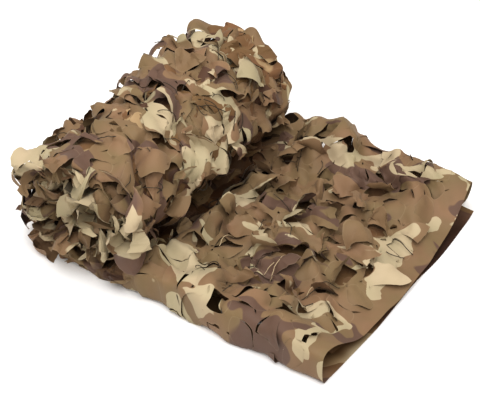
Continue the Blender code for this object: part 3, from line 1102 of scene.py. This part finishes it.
def ring_part(chosen, segments, rings):
    """The rings round the cuts of the chosen places, out to the square of each place. Each point comes
    twice: first as the cloth at the neck, and then as the cloth beside the cut, which stands up by the
    lip. As it stands up it draws back from the cut, by half the lip's square over the length that
    stands."""
    x, y, angle = square_round(segments)
    layer = np.linspace(0.0, 1.0, rings + 1)
    beside, layer, k = np.meshgrid((0.0, 1.0), layer, np.arange(angle.size), indexing="ij")
    index = np.repeat(chosen, layer.size)
    beside, layer, k = (np.tile(values.ravel(), len(chosen)) for values in (beside, layer, k))
    angle = angle[k]
    edge_s, edge_t = x[k] * PITCH_S / 2.0, y[k] * PITCH_T / 2.0
    reach = outline(index, angle)
    s_off = (1.0 - layer) * reach * np.cos(angle) + layer * edge_s
    t_off = (1.0 - layer) * reach * np.sin(angle) + layer * edge_t
    flat = np.stack([centre_s[index] + s_off, centre_t[index] + t_off], axis=-1)

    round_neck = round_from_neck(index, angle)
    past_neck = np.abs(round_neck) - tab_neck[index]
    waves = np.zeros(index.size)
    for turns, (cosines, sines) in enumerate(edge_waves, start=1):
        waves = waves + cosines[index] * np.cos(turns * round_neck)
        waves = waves + sines[index] * np.sin(turns * round_neck)
    corner = corner_lip[np.where(round_neck > 0.0, 0, 1), index]
    lip = corner * bump(past_neck, 0.0, LIP_ANGLE) + waves * step(past_neck, 0.0, WAVES_FROM)
    lip = np.where(past_neck > -NEAR_NECK, lip, 0.0) * (1.0 - layer) * beside
    to_edge = np.hypot(edge_s, edge_t) - reach
    drawn_back = 0.5 * lip * lip / np.maximum(to_edge * (1.0 - layer), LEAST_STANDING)
    drawn_back = np.minimum(drawn_back, MOST_DRAWN_BACK * to_edge)
    nothing = np.zeros(index.size)
    points = carry(flat[:, 0], flat[:, 1], drawn_back, nothing, lip, angle)
    at_end = (np.abs(past_neck) < NEAR_NECK) & (layer < 0.999)
    tag = np.where(at_end & (beside > 0.5), ON_HOLE, ON_NEITHER)
    to_cut = np.hypot(s_off, t_off) - reach
    return Part(flat, points, tag, to_cut, nothing, ring_quads(chosen, segments, rings))


print("and its rings have", len(ring_part(np.array([0]), 4, 2).points))

# %% [markdown]
# ## The pieces
#
# The net is one cloth, but more faces than one mesh should hold. So it is made in six blocks of places
# that meet edge to edge: fine ones where the cloth is seen, and coarse ones where it lies under other
# layers. A block that reaches the cloth's edge gets its share of the plain border, which the real cloth
# keeps so that it won't tear.

# %% Blocks of the net
FLAT_ROWS = 12
OUTER_ROWS = 29
UNDER_COLUMNS = 9
NEAR_COLUMNS = 13
OVER_COLUMNS = 24
FINE = (12, 3)  # segments along a place's side, and rings round its tab
COARSE = (8, 2)
Block = namedtuple("Block", "first_row last_row low_column high_column segments rings")
BLOCKS = {
    "net_flat_under": Block(0, FLAT_ROWS, 0, UNDER_COLUMNS, *COARSE),
    "net_flat_over": Block(0, FLAT_ROWS, UNDER_COLUMNS, OVER_COLUMNS, *FINE),
    "net_flat_middle": Block(0, FLAT_ROWS, OVER_COLUMNS, COLUMNS, *COARSE),
    "net_outer_turns": Block(FLAT_ROWS, OUTER_ROWS, 0, NEAR_COLUMNS, *FINE),
    "net_outer_layers": Block(FLAT_ROWS, OUTER_ROWS, NEAR_COLUMNS, COLUMNS, *COARSE),
    "net_inner_turns": Block(OUTER_ROWS, ROWS, 0, COLUMNS, *COARSE),
}


def flat_size(block):
    """The size of a block on the flat cloth, across and along, with its plain borders."""
    at_sides = (block.low_column == 0) + (block.high_column == COLUMNS)
    across = block.high_column - block.low_column + 0.5 * at_sides
    along = (block.last_row - block.first_row) * PITCH_S + END_BORDER * (block.first_row == 0)
    return across * PITCH_T, along + 0.5 * PITCH_S * (block.last_row == ROWS)


def borders(block):
    """The plain borders of a block: lengths and widths, from and to. Every other row starts half a place
    further in, so each row has its own pieces at the cloth's sides."""
    at_low, at_high = block.low_column == 0, block.high_column == COLUMNS
    found = []
    for row in range(block.first_row, block.last_row):
        s_low = END_BORDER + row * PITCH_S
        side = (0.5 + 0.5 * (row % 2)) * PITCH_T
        if at_low:
            found.append((s_low, s_low + PITCH_S, 0.0, side))
        if at_high:
            found.append((s_low, s_low + PITCH_S, CLOTH_WIDTH - side, CLOTH_WIDTH))
    low_t = 0.0 if at_low else (block.low_column + 0.5) * PITCH_T
    high_t = CLOTH_WIDTH if at_high else (block.high_column + 0.5) * PITCH_T
    if block.first_row == 0:
        found.append((0.0, END_BORDER, low_t, high_t))
    if block.last_row == ROWS:
        found.append((END_BORDER + ROWS * PITCH_S, CLOTH_LENGTH, low_t, high_t))
    return found


print({name: np.round(flat_size(block), 3).tolist() for name, block in BLOCKS.items()})

# %% The meshes of the blocks
LOWEST = 0.0004  # the least height over the floor
JOIN_STEPS = 2e5  # steps in a metre: points in the same step of the flat cloth are one point
PLAIN_DISTANCE = 0.02


def plain_part(s_low, s_high, t_low, t_high, segments):
    """Uncut cloth between two lengths and two widths, on the same spacing as the places beside it."""
    rows = max(1, round((s_high - s_low) / (PITCH_S / segments))) + 1
    columns = max(1, round((t_high - t_low) / (PITCH_T / segments))) + 1
    s, t = np.meshgrid(np.linspace(s_low, s_high, rows), np.linspace(t_low, t_high, columns), indexing="ij")
    flat = np.stack([s.ravel(), t.ravel()], axis=-1)
    nothing = np.zeros(len(flat))
    tag = np.full(len(flat), ON_NEITHER)
    to_cut = nothing + PLAIN_DISTANCE
    return Part(flat, rippled_surface(*flat.T), tag, to_cut, nothing, grid_quads(rows, columns))


def net_mesh(name, block):
    """The cloth of a block of places. Points that share a place on the flat cloth are joined, apart from
    those of a tab along its cut."""
    in_rows = (place_row >= block.first_row) & (place_row < block.last_row)
    in_columns = (place_column >= block.low_column) & (place_column < block.high_column)
    chosen = np.flatnonzero(in_rows & in_columns)
    parts = [tab_part(chosen, block.segments), ring_part(chosen, block.segments, block.rings)]
    parts += [plain_part(*border, block.segments) for border in borders(block)]
    starts = np.cumsum([0] + [len(part.flat) for part in parts])
    faces = np.concatenate([part.quads + start for part, start in zip(parts, starts)])
    whole = Part(*(np.concatenate(values) for values in zip(*parts)))

    keys = np.column_stack([np.round(whole.flat * JOIN_STEPS), whole.tag]).astype(np.int64)
    _, first, joined = np.unique(keys, axis=0, return_index=True, return_inverse=True)
    faces = joined.ravel()[faces]
    flat = whole.flat[first]
    points = whole.points[first]
    points[:, 2] = np.maximum(points[:, 2], LOWEST)
    values = {"cut_distance": whole.to_cut[first], "tab_tone": whole.tone[first]}
    for lean, ovals in SOFT_OVALS.items():
        values[lean] = soft_ovals(ovals, *flat.T)
    values["under"] = painted_shade_under_layers(*flat.T)
    print(f"{name}: {len(points)} points, {len(faces)} faces")
    return mesh_from_arrays(name, points, faces, flat, values)


pieces = {name: show(name, net_mesh(name, block)) for name, block in BLOCKS.items()}

# %% [markdown]
# ## Loose threads
#
# Where the cloth is cut, its dark sewing threads and yarn ends come loose. Most lie over the tabs, and a
# few stand up from them. Curves with a bevel would do, but plain tubes in one mesh can follow the cloth
# like all the rest: a thread's path is a line over the flat cloth, carried to the folded shape at a small
# height above it.

# %% The loose threads
# s and t of the start, heading in degrees, length, bend in degrees, rise, height of the end, 1 if pale
THREADS = (
    (0.790, 0.425, 30, 0.055, 70, 0.008, 0.0, 0),
    (0.950, 0.235, -20, 0.050, 20, 0.004, 0.0, 0),
    (0.985, 0.245, 60, 0.045, 300, 0.006, 0.0, 0),
    (0.800, 0.118, 160, 0.016, 40, 0.000, 0.012, 0),
    (0.960, 0.400, 10, 0.050, 120, 0.006, 0.0, 0),
    (1.010, 0.190, 80, 0.040, -90, 0.006, 0.0, 0),
    (0.110, 0.690, 70, 0.050, 90, 0.004, 0.0, 0),
    (0.120, 0.665, 140, 0.045, -60, 0.004, 0.0, 0),
    (0.230, 0.640, 60, 0.060, 60, 0.006, 0.0, 0),
    (0.245, 0.655, 110, 0.045, -80, 0.006, 0.0, 0),
    (0.202, 0.680, 97, 0.040, 4, 0.008, 0.0, 1),
    (0.184, 0.666, 78, 0.070, 4, 0.012, 0.0, 1),
    (0.113, 0.672, 98, 0.035, 8, 0.008, 0.0, 1),
    (0.305, 0.700, 82, 0.034, 20, 0.008, 0.0, 1),
)
SCATTERED_OVER = (  # s and t, from and to: the top of the flat part, and the front of the roll
    ((0.06, 0.40), (0.60, 1.00)),
    ((0.86, 1.12), (0.03, 0.47)),
)
SCATTERED_EACH = 16
THREAD_HALF_WIDTH = 0.00055
THREAD_POINTS = 14
THREAD_LIFT = 0.0025
TUBE_SIDES = 4


def scattered_threads():
    """Random threads over the two areas, with the same measures in each row as those listed above."""
    starts = []
    for s_range, t_range in SCATTERED_OVER:
        start_s = random.uniform(*s_range, SCATTERED_EACH)
        start_t = random.uniform(*t_range, SCATTERED_EACH)
        starts.append(np.column_stack([start_s, start_t]))
    start = np.concatenate(starts)
    heading = random.uniform(0.0, 360.0, len(start))
    length = random.uniform(0.020, 0.055, len(start))
    bend = random.normal(0.0, 70.0, len(start))
    rise = random.uniform(0.002, 0.010, len(start))
    nothing = np.zeros(len(start))
    return np.column_stack([start, heading, length, bend, rise, nothing, nothing])


def thread_mesh():
    """Each thread turns evenly by its bend over its length, and stands off the cloth by its rise times a
    half sine plus its end height times the share of its length. Four points round each of its places make
    the tube."""
    rows = np.concatenate([np.array(THREADS), scattered_threads()])
    s, t, heading, length, bend, rise, end, pale = (column[:, None] for column in rows.T)
    share = np.linspace(0.0, 1.0, THREAD_POINTS)[None]
    turn = np.radians(heading + bend * share)
    stride = length / (THREAD_POINTS - 1)
    path_s = s + np.cumsum(np.cos(turn) * stride, axis=1)
    path_t = t + np.cumsum(np.sin(turn) * stride, axis=1)
    place, _, _, outward = surface_frame(path_s, path_t)
    height = THREAD_LIFT + rise * np.sin(np.pi * share) + end * share
    path = place + outward * height[..., None]
    ahead = unit(np.gradient(path, axis=1))
    beside = unit(np.cross(ahead, outward))
    above = np.cross(beside, ahead)
    corner = (np.arange(TUBE_SIDES) + 0.5)[:, None] * 2.0 * np.pi / TUBE_SIDES
    ring = np.cos(corner) * beside[:, :, None] + np.sin(corner) * above[:, :, None]
    points = path[:, :, None] + THREAD_HALF_WIDTH * math.sqrt(2.0) * ring
    index = np.arange(points.size // 3).reshape(points.shape[:3])
    onward = np.roll(index, -1, axis=2)
    sides = np.stack([index[:, :-1], onward[:, :-1], onward[:, 1:], index[:, 1:]], axis=-1).reshape(-1, 4)
    quads = np.concatenate([sides, index[:, 0, ::-1], index[:, -1]])
    flat = np.repeat(np.stack([path_s, path_t], axis=-1)[:, :, None], TUBE_SIDES, axis=2).reshape(-1, 2)
    values = {"pale": np.repeat(pale.ravel(), THREAD_POINTS * TUBE_SIDES)}
    print(len(rows), "threads")
    return mesh_from_arrays("net_threads", points.reshape(-1, 3), quads, flat, values)


threads = show("net_threads", thread_mesh())

# %% [markdown]
# ## Shader maths as expressions
#
# A material is a sum of many small calculations. They could be wired by hand in the node editor, but one
# small class wraps a socket and gives it the usual operators. Then a mask reads like a formula, and each
# operator adds its Math node.


# %% Sockets with operators
class Value:
    """A number that varies over a surface. Operators on it add Math nodes to its tree."""

    def __init__(self, tree, socket):
        self.tree = tree
        self.socket = socket

    def math(self, operation, *others, clamp=False):
        node = self.tree.nodes.new("ShaderNodeMath")
        node.operation = operation
        node.use_clamp = clamp
        for place, term in zip(node.inputs, (self, *others)):
            connect(self.tree, place, term)
        return Value(self.tree, node.outputs[0])

    def __add__(self, other):
        return self.math("ADD", other)

    __radd__ = __add__

    def __mul__(self, other):
        return self.math("MULTIPLY", other)

    __rmul__ = __mul__

    def __sub__(self, other):
        return self.math("SUBTRACT", other)

    def __rsub__(self, other):
        return (self * -1.0) + other

    def __truediv__(self, other):
        return self.math("DIVIDE", other)

    def clamped(self):
        return self.math("ADD", 0.0, clamp=True)

    def above(self, edge, softness):
        """0 under the edge and 1 over it, with an even step of the given softness."""
        return ((self - edge) / softness + 0.5).clamped()


def connect(tree, place, term):
    """Puts a number, a colour or another node's output into an input."""
    if isinstance(term, Value):
        tree.links.new(term.socket, place)
    elif isinstance(term, bpy.types.NodeSocket):
        tree.links.new(term, place)
    else:
        place.default_value = term


def add_node(tree, kind, settings=None, values=None):
    """A node of a kind, with its settings made first and then the values or links of its inputs."""
    node = tree.nodes.new(kind)
    for name, setting in (settings or {}).items():
        setattr(node, name, setting)
    for name, term in (values or {}).items():
        connect(tree, node.inputs[name], term)
    return node


print("a value's methods:", [name for name in vars(Value) if not name.startswith("__")])

# %% The nodes that the finishes use
MIX_FACTOR, MIX_FIRST, MIX_SECOND, MIX_RESULT = 0, 6, 7, 2  # a Mix node's sockets for colours


def mixed(tree, share, first, second):
    """The colour that goes from the first to the second as the share goes from 0 to 1."""
    sockets = {MIX_FACTOR: share, MIX_FIRST: first, MIX_SECOND: second}
    return add_node(tree, "ShaderNodeMix", {"data_type": "RGBA"}, sockets).outputs[MIX_RESULT]


def noise(tree, vector, scale, detail, roughness=0.5, distortion=0.0):
    """Smooth noise over the flat cloth. Its Fac output is one number, and its Color output is three."""
    values = {"Vector": vector, "Scale": scale, "Detail": detail}
    values.update({"Roughness": roughness, "Distortion": distortion})
    return add_node(tree, "ShaderNodeTexNoise", {"noise_dimensions": "3D"}, values)


def vector_math(tree, operation, first, second):
    """A vector or a colour worked out from two others."""
    node = add_node(tree, "ShaderNodeVectorMath", {"operation": operation}, {0: first, 1: second})
    return node.outputs[0]


def moved(tree, vector, offset):
    return vector_math(tree, "ADD", vector, offset)


def scaled(tree, vector, scale):
    return vector_math(tree, "MULTIPLY", vector, scale)


def point_value(tree, name):
    """What the mesh's points hold under a name."""
    return Value(tree, add_node(tree, "ShaderNodeAttribute", {"attribute_name": name}).outputs["Fac"])


def noise_value(tree, vector, *measures):
    """The noise's one number, to calculate with."""
    return Value(tree, noise(tree, vector, *measures).outputs["Fac"])


def cloth_material(name):
    """A new material's tree, its shader, and the places on the flat cloth."""
    material = bpy.data.materials.new(name)
    material.use_nodes = True
    tree = material.node_tree
    places_uv = add_node(tree, "ShaderNodeUVMap", {"uv_map": "cloth"}).outputs[0]
    return material, tree, tree.nodes["Principled BSDF"], places_uv


def linear(red, green, blue):
    """A colour given as it looks on a screen, from 0 to 255, as the light it stands for."""
    screen = np.array([red, green, blue]) / 255.0
    light = np.where(screen <= 0.04045, screen / 12.92, ((screen + 0.055) / 1.055) ** 2.4)
    return (*light.tolist(), 1.0)


print("a middle grey on a screen is", round(linear(128, 128, 128)[0], 3), "of full light")

# %% [markdown]
# ## The printed cloth
#
# The real cloth is matte and printed in three colours: a brown ground, with tan and purple-brown blots
# over it. Two noises over the flat cloth make the blots, each where its noise passes a limit, and a third
# one bends their outlines. A painted image could do it too, but noise never repeats and stays sharp
# however close one looks. The same cloth also looks different from tab to tab, rosier or more olive. On
# top of the print comes painted shade, at random, under other layers and in the hollows, and the cut edges
# get a little paleness with a painted highlight.

# %% The colours and the amounts of the print
BROWN = (linear(123, 103, 73), linear(131, 103, 77))  # olive and rosy
TAN = (linear(171, 159, 128), linear(180, 163, 134))
PLUM = linear(99, 76, 63)
# the colour of the cut edges: partly their own paleness, partly a painted highlight
PALE_EDGE_AND_HIGHLIGHT = linear(190, 172, 140)
CENTRED = (-0.5, -0.5, -0.5)
BLOT_BEND = (0.07, 0.07, 0.0)
TAN_STRETCH = (1.0, 1.6, 1.0)
PLUM_STRETCH = (1.0, 1.5, 1.0)
PLUM_OFFSET = (3.7, 8.1, 0.0)  # each noise is read elsewhere, so that none follows another
HUE_OFFSET = (5.3, 2.9, 0.0)
RANDOM_SHADE_OFFSET = (1.7, 6.1, 0.0)
TAN_EDGE = (0.615, 0.010)  # the limit of a blot, and how soft its edge is
PLUM_EDGE = (0.605, 0.012)
# The cut edges' paleness with a painted highlight, then painted shade: at random, under other layers and in
# the hollows.
EDGE_HIGHLIGHT_REACH = (0.0006, 0.0006)
EDGE_HIGHLIGHT_SHARE = 0.10
RANDOM_PAINTED_SHADE = (0.80, 0.79, 0.77)
RANDOM_PAINTED_SHADE_SHARE = 0.9
PAINTED_UNDER_SHADE = (0.76, 0.61, 0.46)
PAINTED_UNDER_SHARE = 0.85
PAINTED_HOLLOW_SHADE = (0.36, 0.26, 0.17)
PAINTED_HOLLOW_GAIN = 1.4
print("brown:", np.round(BROWN[0], 3), "tan:", np.round(TAN[0], 3), "purple-brown:", np.round(PLUM, 3))

# %% The blots
cloth, tree, shader, places_uv = cloth_material("camouflage_cloth")
bend = noise(tree, places_uv, 14.0, 1.0).outputs["Color"]
bent = moved(tree, places_uv, scaled(tree, moved(tree, bend, CENTRED), BLOT_BEND))
tan_noise = noise_value(tree, scaled(tree, bent, TAN_STRETCH), 11.0, 1.5, 0.42, 0.7)
plum_places = moved(tree, scaled(tree, bent, PLUM_STRETCH), PLUM_OFFSET)
plum_noise = noise_value(tree, plum_places, 9.5, 1.5, 0.4, 0.6)
tan_field = tan_noise + point_value(tree, "tan_lean") * 0.26 - point_value(tree, "plum_lean") * 0.10
tan_field = tan_field - point_value(tree, "brown_lean") * 0.16
plum_field = plum_noise + point_value(tree, "plum_lean") * 0.15
tan_mask = tan_field.above(*TAN_EDGE)
plum_mask = plum_field.above(*PLUM_EDGE)
hue_noise = noise_value(tree, moved(tree, places_uv, HUE_OFFSET), 16.0, 1.5, 0.5, 0.4)
rosy = ((hue_noise - 0.5) * 3.0 + point_value(tree, "tab_tone") * 0.22 + 0.5).clamped()
brown = mixed(tree, rosy, *BROWN)
tan = mixed(tree, rosy, *TAN)
colour = mixed(tree, plum_mask, brown, PLUM)
colour = mixed(tree, tan_mask, colour, tan)
print(len(tree.nodes), "nodes make the blots")

# %% Painted shade, and the cut edges' paleness with a painted highlight
# painted shade at random: some patches and tabs darker and a little greyer, like leaves that catch less light
random_shade_noise = noise_value(tree, moved(tree, places_uv, RANDOM_SHADE_OFFSET), 23.0, 2.0, 0.5, 0.3)
random_painted_shade = ((random_shade_noise - 0.5) * 1.6 + point_value(tree, "tab_tone") * -0.25 + 0.45).clamped()
colour = mixed(tree, random_painted_shade * RANDOM_PAINTED_SHADE_SHARE, colour, scaled(tree, colour, RANDOM_PAINTED_SHADE))
# painted shade: the cloth under other layers is made darker and browner
colour = mixed(tree, point_value(tree, "under") * PAINTED_UNDER_SHARE, colour, scaled(tree, colour, PAINTED_UNDER_SHADE))
# painted shade: much darker and browner in the hollows
painted_hollow_shade = (point_value(tree, "hollow") * PAINTED_HOLLOW_GAIN).clamped()
colour = mixed(tree, painted_hollow_shade, colour, scaled(tree, colour, PAINTED_HOLLOW_SHADE))
# the cut edges a little paler: partly the cloth's paler cut edge, partly a painted highlight where its thin
# edge would catch the light
pale_edge_and_highlight = (1.0 - point_value(tree, "cut_distance").above(*EDGE_HIGHLIGHT_REACH)) * EDGE_HIGHLIGHT_SHARE
colour = mixed(tree, pale_edge_and_highlight, colour, PALE_EDGE_AND_HIGHLIGHT)
connect(tree, shader.inputs["Base Color"], colour)
shader.inputs["Roughness"].default_value = 0.62
shader.inputs["Specular IOR Level"].default_value = 0.22
shader.inputs["Sheen Weight"].default_value = 0.05
print(len(tree.nodes), "nodes in all")

# %% [markdown]
# ## What the pieces are
#
# All six pieces stand in for the one cloth of the solid model and lie still with it. Each one's size
# before it was folded is worked out, since a folded sheet's own box doesn't tell it, but nothing keeps it.

# %% What the pieces are
for name, piece in pieces.items():
    piece.data.materials.append(cloth)
    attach(piece, "root")
    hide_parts("net_cloth")
    flat_size(BLOCKS[name])
print(len(pieces), "pieces of one cloth")

# %% [markdown]
# ## The threads' finish
#
# The sewing threads are dark and a little faded here and there, and the loose yarn ends are pale. Two
# dark browns mixed by a fine noise look like that. The pale ones could have a material of their own, but
# it is enough that each thread's points say which it is.

# %% The threads' finish
THREAD_DARK = linear(38, 32, 22)
THREAD_FADED = linear(66, 54, 38)
THREAD_PALE = linear(176, 156, 124)
thread_cloth, thread_tree, thread_shader, thread_places = cloth_material("dark_thread")
faded = (noise_value(thread_tree, thread_places, 60.0, 1.0) * 2.0 - 0.5).clamped()
thread_colour = mixed(thread_tree, faded, THREAD_DARK, THREAD_FADED)
thread_colour = mixed(thread_tree, point_value(thread_tree, "pale"), thread_colour, THREAD_PALE)
connect(thread_tree, thread_shader.inputs["Base Color"], thread_colour)
thread_shader.inputs["Roughness"].default_value = 0.8
threads.data.materials.append(thread_cloth)
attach(threads, "root")
print(len(thread_tree.nodes), "nodes for the threads")

# %% [markdown]
# ## Floor and light
#
# The netting lies on a plain pale floor under one broad soft light from above, a little in front, and a
# warm even background. A sun would give hard shadows, and this net's many small tabs read better without
# them.

# %% The floor
JUST_UNDER = -0.0002
bpy.ops.mesh.primitive_plane_add(size=30.0, location=(0.0, 0.0, JUST_UNDER))
floor = bpy.context.object
floor.name = "floor"
floor_material = bpy.data.materials.new("pale_floor")
floor_material.use_nodes = True
floor_shader = floor_material.node_tree.nodes["Principled BSDF"]
floor_shader.inputs["Base Color"].default_value = (0.92, 0.92, 0.92, 1.0)
floor_shader.inputs["Roughness"].default_value = 0.9
floor.data.materials.append(floor_material)
print("the floor is", floor.dimensions.x, "m wide")

# %% The light
LIGHT_PLACE = Vector((0.20, -0.60, 2.15))
LIGHT_AIM = Vector((0.0, 0.0, 0.1))
world = bpy.data.worlds.new("studio")
bpy.context.scene.world = world
world.use_nodes = True
background = world.node_tree.nodes["Background"]
background.inputs["Color"].default_value = (1.0, 0.93, 0.85, 1.0)
background.inputs["Strength"].default_value = 0.76
light_data = bpy.data.lights.new("overhead", "AREA")
light_data.shape = "DISK"
light_data.size = 2.6
light_data.energy = 66.0
light_data.color = (0.98, 1.0, 1.03)
light = bpy.data.objects.new("overhead", light_data)
light.location = LIGHT_PLACE
light.rotation_euler = (LIGHT_PLACE - LIGHT_AIM).to_track_quat("Z", "Y").to_euler()
bpy.context.scene.collection.objects.link(light)
bpy.context.scene.view_settings.view_transform = "Standard"
bpy.context.scene.view_settings.gamma = 0.90
print("one soft light", round(LIGHT_PLACE.length, 2), "m away")
